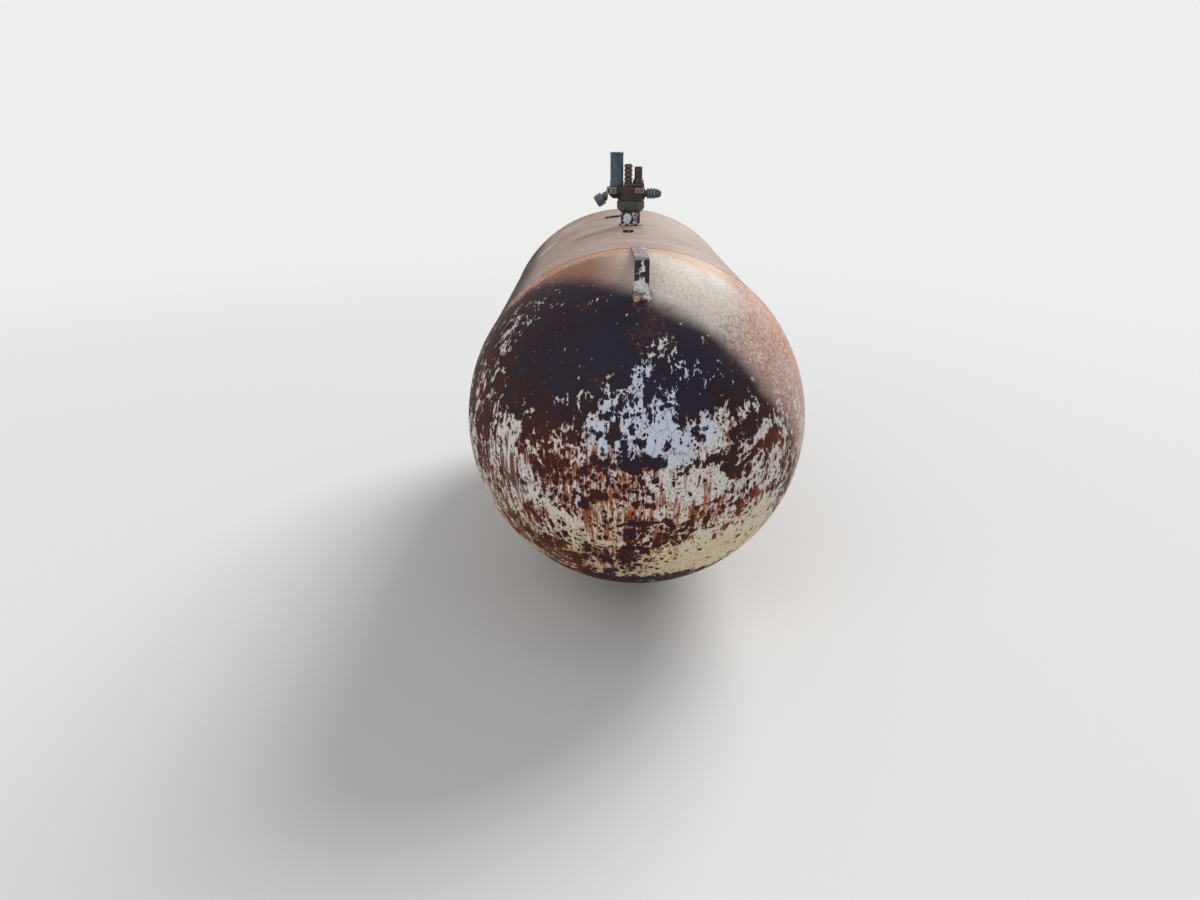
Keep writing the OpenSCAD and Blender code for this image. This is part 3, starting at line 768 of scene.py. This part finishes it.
def round_path(radius, steps):
    """The points of a circle round the origin."""
    return [(math.cos(turn) * radius, math.sin(turn) * radius)
        for turn in np.linspace(0, math.tau, steps, endpoint=False)]


weld_bead = weld_bead_tree()


def lay_bead(name, node_name, path, sizes, seed=0.0, material=tank_paint):
    """Fits a bead of weld metal that follows a path and stands for a CAD weld."""
    bead = grown(name, weld_bead, {**sizes, "Seed": seed, "Material": material}, path)
    if material == tank_paint:
        mark_wear(bead, 0)
    fit(bead, material, "weld_rust", node_name)


for end, end_name in ((-1, "near"), (1, "far")):
    girth = [(x, end * seam_y, axis_z + z) for x, z in round_path(tank_radius, 360)]
    lay_bead(end_name + "_girth_bead", end_name + "_girth_weld",
        paths("girth", girth, closed=True), seam_bead, float(end))
seam_x, seam_z = -math.sin(seam_turn) * tank_radius, axis_z - math.cos(seam_turn) * tank_radius
seam_end = seam_y - seam_bead["Width"] / 2
lay_bead("long_seam_bead", "long_seam_weld",
    paths("seam", [(seam_x, -seam_end, seam_z), (seam_x, seam_end, seam_z)]), seam_bead)


# Lifting lugs. A strap 40 by 8 mm that lies on the crown, is bent down to the head and bent out
# into a foot, and is fillet welded across its rear end and round its foot. The face of the strap
# still holds chips of blue-white paint, and dust has greyed its top.
lug_width, lug_thick, lug_reach = 0.040, 0.008, 0.285
lug_bend, lug_foot, lug_gap = 0.005, 0.034, 0.016
seat, weld_lift = 0.0002, 0.0015
lug_bead = {"Width": 0.010, "Crown": 0.005, "Ripple": 0.0007, "Pitch": 0.008}


def merged_copy(name, node_name, whole_faces):
    """A copy of a CAD node whose loose triangles are joined, and made whole faces if asked."""
    form = bmesh.new()
    form.from_mesh(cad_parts[node_name].data)
    bmesh.ops.remove_doubles(form, verts=form.verts, dist=0.00002)
    if whole_faces:
        bmesh.ops.dissolve_limit(form, angle_limit=math.radians(1), verts=form.verts,
            edges=form.edges)
    return moulded(name, form)


def eased(name, node_name, material, slot, bevel, steps=2, angle=35, smooth=40):
    """Fits a piece with a CAD node's own form and edges that are rounded where they turn sharper
    than angle. It is shaded softly up to the smooth angle."""
    rough = merged_copy(name, node_name, whole_faces=True)
    rounding = rough.modifiers.new("rounding", "BEVEL")
    rounding.width, rounding.segments, rounding.angle_limit = bevel, steps, math.radians(angle)
    piece = baked(rough)
    piece.data.shade_smooth()
    piece.data.set_sharp_from_angle(angle=math.radians(smooth))
    fit(piece, material, slot, node_name)


def steel_material(name, paint_code, cover, redness, dust, dust_code, spots, plates=0.0, chips=()):
    """Rusted steel that holds some flaked paint, with dust on what faces up. A chip gives the
    middle, the reach and the strength of a place where more of the paint is left, or less."""
    material, tree, shader = new_material(name)
    position = node(tree, "ShaderNodeTexCoord", output="Object")
    rust = shader_group(tree, rust_and_shade_coat, {"Position": position, "Redness": redness})
    for middle, reach, strength in chips:
        far = along(tree, "DISTANCE", position, middle, output=1)
        cover = far.smooth(reach * 1.3, reach * 0.7) * strength + cover
    coat = shader_group(tree, flaking_paint, {"Position": position, "Down the run": position,
        "Cover": cover, "Spots": spots, "Plates": plates})
    up = parts(tree, node(tree, "ShaderNodeNewGeometry", output="Normal"))[2]
    powder = noise(tree, position, 60, detail=5, roughness=0.65) * 0.5 + 0.5
    colour = (up.smooth(0.3, 0.9) * powder * dust).mix(rust["Color"], dust_code)
    paint_colour = (noise(tree, position, 26) * 0.4).mix(paint_code, "#968c7e")
    paint_colour = (coat["Stained edge"] * 0.45).mix(paint_colour, "#7a4228")
    paint = coat["Paint"]
    surface(tree, shader, paint.mix(colour, paint_colour),
        rust["Roughness"] * (1.0 - paint) + paint * 0.5,
        coat["Height"] * 0.5 + rust["Height"] * 0.5, relief_height=0.0009, specular=0.3)
    return material


strap_y = -seam_y - lug_reach
lug_steel = steel_material("lug_steel", "#d3d8de", cover=0.30, redness=0.24, dust=0.62,
    dust_code="#a89083", spots=-0.10, plates=0.3, chips=(
        ((-0.006, strap_y, 1.121), 0.016, 0.55), ((-0.004, strap_y, 1.070), 0.017, 0.55),
        ((0.012, strap_y - 0.025, 1.045), 0.012, 0.45)))
weld_steel = steel_material("weld_steel", "#b9a08f", cover=0.44, redness=0.58, dust=0.6,
    dust_code="#a98573", spots=0.05)
foot_slope = math.asin((lug_reach + lug_foot / 2) / tank_radius)
bend_r = tank_radius + seat + lug_thick + lug_bend
foot_back = (lug_reach + lug_bend - bend_r * math.sin(foot_slope)) / math.cos(foot_slope)
bend_z = axis_z + bend_r * math.cos(foot_slope) - foot_back * math.sin(foot_slope)


def on_foot(across, toward):
    """A point of the foot's sole, given from the bend above the near lug's foot along its slope."""
    sole = weld_lift - lug_thick - lug_bend
    return (across,
        strap_y - lug_bend + toward * math.cos(foot_slope) - sole * math.sin(foot_slope),
        bend_z + toward * math.sin(foot_slope) + sole * math.cos(foot_slope))


half = lug_width / 2
rear_y, crown_z = -seam_y - lug_gap + 0.001, axis_z + tank_radius + weld_lift
fillets = [
    [(-half, rear_y, crown_z), (half, rear_y, crown_z)],
    [on_foot(-half - 0.002, -lug_foot - 0.001), on_foot(half + 0.002, -lug_foot - 0.001)],
    [on_foot(half + 0.001, -lug_foot), on_foot(half + 0.001, 0)],
    [on_foot(-half - 0.001, -lug_foot), on_foot(-half - 0.001, 0)]]
for turn, end_name in ((1, "near"), (-1, "far")):
    eased(end_name + "_lug_strap", end_name + "_lifting_lug", lug_steel, "lug_rust", 0.0016, 3)
    runs = [[(x * turn, y * turn, z) for x, y, z in run] for run in fillets]
    lay_bead(end_name + "_lug_beads", end_name + "_lug_welds", paths("fillets", *runs), lug_bead,
        float(turn), weld_steel)


# Legs. Four pressed channels stand on square foot plates with one hold-down hole each, and carry
# the shell on curved pads. They have the tank's cream paint, chipped and stained from below.
leg_x, leg_y = 0.25, 0.35
leg_steel = steel_material("leg_steel", "#d4c4a2", cover=0.70, redness=0.62, dust=0.3,
    dust_code="#a08f7c", spots=-0.22, chips=[
        ((x, y, 0.0), 0.085, -0.32) for x in (-leg_x, leg_x) for y in (-leg_y, leg_y)])
for corner in ("near_left", "near_right", "far_left", "far_right"):
    for ending, node_ending, bevel in (("_channel", "_leg", 0.0015),
            ("_foot_plate", "_foot", 0.0012), ("_saddle_pad", "_pad", 0.0012)):
        eased(corner + ending, corner + node_ending, leg_steel, "leg_paint", bevel)


# Coupling. A forged steel half coupling, fillet welded on the crown at mid-length. It is rusted,
# with a large chip of blue-white paint on its near side.
coupling_r = 0.035
coupling_bead = {"Width": 0.011, "Crown": 0.005, "Ripple": 0.0008, "Pitch": 0.008}
coupling_steel = steel_material("coupling_steel", "#cdd6e2", cover=0.26, redness=0.52, dust=0.5,
    dust_code="#a88d78", spots=-0.35, chips=(((-0.013, -0.032, 1.166), 0.0145, 0.85),))
eased("coupling_forging", "valve_coupling", coupling_steel, "coupling_rust", 0.0012, angle=30)
saddle = [(x, y, axis_z + math.sqrt(tank_radius ** 2 - x ** 2) + weld_lift)
    for x, y in round_path(coupling_r + 0.002, 72)]
lay_bead("coupling_bead", "coupling_weld", paths("coupling", saddle, closed=True),
    coupling_bead, 5.0, weld_steel)


# Valve body. A brass hexagon screwed into the coupling, a cast body with a lobe for the relief
# valve, and a bonnet plate held by four hexagon screws. All of it has weathered to brown and
# grey-green.
casting_grain, casting_passes = 0.0012, 6


def worn_metal_group():
    """Cast or turned metal outdoors: a dull ground, a film in patches, darker hollows and drip
    streaks, and lighter worn edges that are partly a painted highlight.
    """
    tree, given, made = new_tree("worn_metal", "ShaderNodeTree",
        {"Position": "Vector", "Ground": "Color", "Film": "Color", "Hollows and drips": "Color",
         "Worn and highlit edge": "Color", "Film amount": 0.5},
        {"Color": "Color", "Roughness": "Float", "Metallic": "Float", "Height": "Float"})
    place = given["Position"]
    patchy = noise(tree, place, 70, detail=6, roughness=0.62)
    fine = noise(tree, place, 480, detail=3, roughness=0.65)
    drips = noise(tree, stretched(tree, place, (170, 170, 22)), 1, roughness=0.6)
    film = (patchy * 0.7 + drips * 0.3 + given["Film amount"] - 1.0).smooth(-0.10, 0.10)
    hollow = node(tree, "ShaderNodeNewGeometry", output="Pointiness")
    # Lighter on sharp edges: worn bare metal, partly a painted highlight.
    edge = (hollow + fine * 0.03).smooth(0.525, 0.60)
    # Darker in the hollows and along drips.
    hollows_and_drips = (hollow.smooth(0.50, 0.44) * 0.8 + (drips - 0.55) * 0.8).held()
    colour = hollows_and_drips.mix(film.mix(given["Ground"], given["Film"]), given["Hollows and drips"])
    colour = (edge * 0.6).mix(colour, given["Worn and highlit edge"])
    return close_tree(tree, made,
        Color=(fine * 0.6).mix(colour, (0.45, 0.45, 0.45, 1), "MULTIPLY"),
        Roughness=film * 0.20 + fine * 0.20 + 0.36 - edge * 0.14,
        Metallic=(1.0 - film) * (1.0 - hollows_and_drips) * 0.45 + edge * 0.3,
        Height=patchy * 0.5 + fine * 0.5)


def valve_material(name, ground, film, hollows_and_drips, worn_and_highlit_edge):
    """Weathered brass, iron or zinc plate, by the colours of its ground, film, darker hollows and
    drips, and lighter edges that are partly a painted highlight.
    """
    material, tree, shader = new_material(name)
    look = shader_group(tree, worn_metal, {
        "Position": node(tree, "ShaderNodeTexCoord", output="Object"),
        "Ground": ground, "Film": film, "Hollows and drips": hollows_and_drips, "Worn and highlit edge": worn_and_highlit_edge})
    feed(tree, shader.inputs["Metallic"], look["Metallic"])
    surface(tree, shader, look["Color"], look["Roughness"], look["Height"],
        relief_height=0.0004, specular=0.5)
    return material


def cast(name, node_name, material, slot):
    """Fits a piece with a CAD node's form and the rounded blends of a sand casting."""
    rough = merged_copy(name, node_name, whole_faces=False)
    skin = rough.modifiers.new("skin", "REMESH")
    skin.mode, skin.voxel_size = "VOXEL", casting_grain
    ease = rough.modifiers.new("ease", "SMOOTH")
    ease.factor, ease.iterations = 0.5, casting_passes
    piece = baked(rough)
    piece.data.shade_smooth()
    fit(piece, material, slot, node_name)


worn_metal = worn_metal_group()
# These colours are darker than the weathered metals' own, a painted shade over the whole valve
# cluster.
green_brass = valve_material("green_brass", "#4a4839", "#393d34", "#1c1916", "#877f68")
brown_iron = valve_material("brown_iron", "#402e2c", "#302224", "#191316", "#745a50")
blue_zinc = valve_material("blue_zinc", "#4c5d68", "#384853", "#1d2227", "#98a9b3")
grey_zinc = valve_material("grey_zinc", "#8d9186", "#6f746b", "#2e2f2c", "#b9bcae")

eased("hexagon_forging", "valve_hexagon", green_brass, "valve_brass", 0.0012, angle=20, smooth=25)
cast("body_casting", "valve_body", brown_iron, "valve_brown")
eased("bonnet_flange", "bonnet_plate", brown_iron, "valve_brown", 0.0012)
eased("bonnet_screw_heads", "bonnet_screws", brown_iron, "valve_brown", 0.0008)


# Upright valves. The relief valve's nut and tall slate blue stack with a rolled rim, on the lobe;
# the brass gauge stem with its ribbed collars on a hexagon; and the brown service valve on its
# nut. All are turned and screwed into the body.
body_bottom, body_top, bonnet_top = 1.226, 1.275, 1.286
lobe_x, gauge_x, service_x = -0.051, -0.009, 0.027
stack_r, stack_h, relief_nut_h = 0.0235, 0.097, 0.022
gauge_r, gauge_h, gauge_collars, gauge_hexagon_r = 0.015, 0.067, 4, 0.0147
service_r, service_h, service_nut_h = 0.0145, 0.046, 0.012


def turned(name, rows, foot, toward=(0, 0, 1), ribs=30, rib_depth=0.0008, around=180):
    """A piece turned on a lathe. A row gives a height and a radius, and says whether it is ribbed
    or a hexagon there instead of round."""
    form = bmesh.new()
    facing = Vector(toward).to_track_quat("Z", "Y")
    rings = []
    for height, radius, *kind in rows:
        ring = []
        for step in range(around):
            turn = math.tau * step / around
            reach = radius
            if "ribbed" in kind:
                reach -= rib_depth * max(0, math.cos(turn * ribs)) ** 2
            if "hexagon" in kind:
                reach = radius / math.cos((turn + math.pi / 6) % (math.pi / 3) - math.pi / 6)
            ring.append(form.verts.new(Vector(foot) + facing @ Vector((
                reach * math.cos(turn), reach * math.sin(turn), height))))
        rings.append(ring)
    for low, high in zip(rings, rings[1:]):
        for step in range(around):
            after = (step + 1) % around
            form.faces.new((low[step], low[after], high[after], high[step]))
    for ring, height in ((rings[0], rows[0][0]), (rings[-1], rows[-1][0])):
        middle = form.verts.new(Vector(foot) + facing @ Vector((0, 0, height)))
        for step in range(around):
            form.faces.new((middle, ring[step], ring[(step + 1) % around]))
    bmesh.ops.recalc_face_normals(form, faces=form.faces)
    piece = moulded(name, form)
    piece.data.shade_smooth()
    piece.data.set_sharp_from_angle(angle=math.radians(32))
    return piece


def ribbed_collar(low, high, inner, outer, ease=0.0005):
    """The rows of a raised collar with grip ribs and eased corners."""
    return [(low, inner), (low, outer - ease, "ribbed"), (low + ease, outer, "ribbed"),
        (high - ease, outer, "ribbed"), (high, outer - ease, "ribbed"), (high, inner)]


eased("relief_nut_forging", "relief_valve_nut", blue_zinc, "valve_zinc", 0.0008, angle=20,
    smooth=25)
stack_wall = [(0, stack_r - 0.002), (0.004, stack_r), (0.010, stack_r),
    *[(0.012 + i * 0.011, stack_r) for i in range(7)]]
stack_rim = [(stack_h - below, stack_r + out) for below, out in (
    (0.0075, 0), (0.0065, 0.0004), (0.0058, 0.0012), (0.0045, 0.0015), (0.0025, 0.0015),
    (0.001, 0.0011), (0, -0.0002), (0, -0.003), (0.0006, -0.0038), (0.003, -0.0045))]
stack_lid = [(stack_h - 0.0024, 0.012), (stack_h - 0.0020, 0.004)]
stack = turned("relief_stack_tube", stack_wall + stack_rim + stack_lid,
    (lobe_x, 0, body_top + relief_nut_h), around=96)
fit(stack, blue_zinc, "valve_zinc", "relief_valve_stack")

collar_pitch = gauge_h / (gauge_collars + 0.5)
gauge_rows = [(0, gauge_hexagon_r, "hexagon"), (0.0062, gauge_hexagon_r, "hexagon"),
    (0.007, gauge_hexagon_r - 0.0008, "hexagon"), (0.007, gauge_r - 0.003)]
for i in range(1, gauge_collars + 1):
    low = collar_pitch * (i - 0.25)
    high = min(low + collar_pitch * 0.55, gauge_h - 0.0005)
    gauge_rows += ribbed_collar(low, high, gauge_r - 0.003, gauge_r)
gauge_rows += [(gauge_h, gauge_r - 0.003), (gauge_h, 0.006), (gauge_h - 0.001, 0.005)]
gauge = turned("gauge_column", gauge_rows, (gauge_x, 0, bonnet_top), ribs=24)
fit(gauge, green_brass, "valve_brass", "gauge_stem")

eased("service_nut_forging", "service_valve_nut", brown_iron, "valve_brown", 0.0008)
service = turned("service_bonnet", [
    (0, service_r + 0.002), (0.0025, service_r + 0.002), (0.003, service_r + 0.0015),
    (0.006, service_r), (0.010, service_r), (0.0104, service_r - 0.0008),
    (0.0118, service_r - 0.0008), (0.0122, service_r),
    *ribbed_collar(0.031, 0.0405, service_r - 0.0008, service_r),
    (0.0408, service_r), (0.042, service_r), (0.044, service_r - 0.0015),
    (service_h, service_r - 0.0015), (service_h, 0.008), (service_h - 0.0015, 0.007),
    (service_h - 0.0015, 0.002)],
    (service_x, 0, bonnet_top + service_nut_h), ribs=28, rib_depth=0.0006)
fit(service, brown_iron, "valve_brown", "service_valve")


# Side outlets. The filler's brass neck points down to the left, the vapour outlet's to the right.
# A ribbed cap of zinc-plated steel is screwed on each by hand, and two bordered port plates face
# the near end.
filler_neck_l, filler_r, filler_l, filler_tilt = 0.044, 0.023, 0.030, math.radians(32)
vapour_neck_l, vapour_r, vapour_l = 0.008, 0.019, 0.052
body_r, vapour_boss = 0.048, 0.003
cap_rib_depth = 0.0011

filler_toward = Vector((-math.cos(filler_tilt), 0, -math.sin(filler_tilt)))
filler_foot = Vector((lobe_x - 0.012, 0, body_top - 0.016)) + filler_toward * filler_neck_l
filler_rows = [(0, filler_r - 0.004)]
for i in range(4):
    low = 0.001 + i * 0.0065
    filler_rows += ribbed_collar(low, low + 0.0039, filler_r - 0.003, filler_r)
filler_rows += [(filler_l - 0.002, filler_r - 0.003), (filler_l - 0.0006, filler_r - 0.0036),
    (filler_l, filler_r - 0.005), (filler_l, 0.012), (filler_l - 0.0012, 0.011),
    (filler_l - 0.0012, 0.003)]
filler_cap = turned("filler_grip_cap", filler_rows, filler_foot, filler_toward, 32, cap_rib_depth)
fit(filler_cap, blue_zinc, "valve_zinc", "filler_cap")

vapour_rows = [(0, vapour_r - 0.004)]
for i in range(3):
    low = 0.001 + i * vapour_l * 0.2
    vapour_rows += ribbed_collar(low, low + vapour_l * 0.12, vapour_r - 0.003, vapour_r)
vapour_rows += [(vapour_l * 0.7 - 0.001, vapour_r - 0.003), (vapour_l * 0.7, vapour_r - 0.004),
    *[(vapour_l * (0.7 + 0.27 * t), vapour_r * (0.79 - 0.32 * t) + 0.0022 * math.sin(t * math.pi))
        for t in np.linspace(0.1, 1, 8)],
    (vapour_l * 0.99, vapour_r * 0.42), (vapour_l, vapour_r * 0.36), (vapour_l, 0.003)]
vapour_foot = (body_r + vapour_boss + vapour_neck_l, 0, (body_bottom + body_top) / 2)
vapour_cap = turned("vapour_grip_cap", vapour_rows, vapour_foot, (1, 0, 0), 28, cap_rib_depth)
fit(vapour_cap, blue_zinc, "valve_zinc", "vapour_cap")
for piece_name, node_name, material in (
        ("filler_spout", "filler_neck", green_brass), ("vapour_spout", "vapour_neck", green_brass),
        ("left_port_cover", "left_port_plate", grey_zinc),
        ("right_port_cover", "right_port_plate", grey_zinc)):
    eased(piece_name, node_name, material, "valve_brass", 0.0006, angle=30, smooth=35)


# Hood fixings. All that is left of the hood over the valves: the curved strip of its hinge behind
# them and the tab of its latch in front, both thin rusted steel and welded to the shell.
hood_steel = steel_material("hood_steel", "#b09b8a", cover=0.30, redness=0.35, dust=0.55,
    dust_code="#80665a", spots=0.05)
for piece_name, node_name in (("hinge_strip_steel", "hood_hinge_strip"),
        ("latch_tab_steel", "hood_latch_tab")):
    eased(piece_name, node_name, hood_steel, "lug_rust", 0.0010)
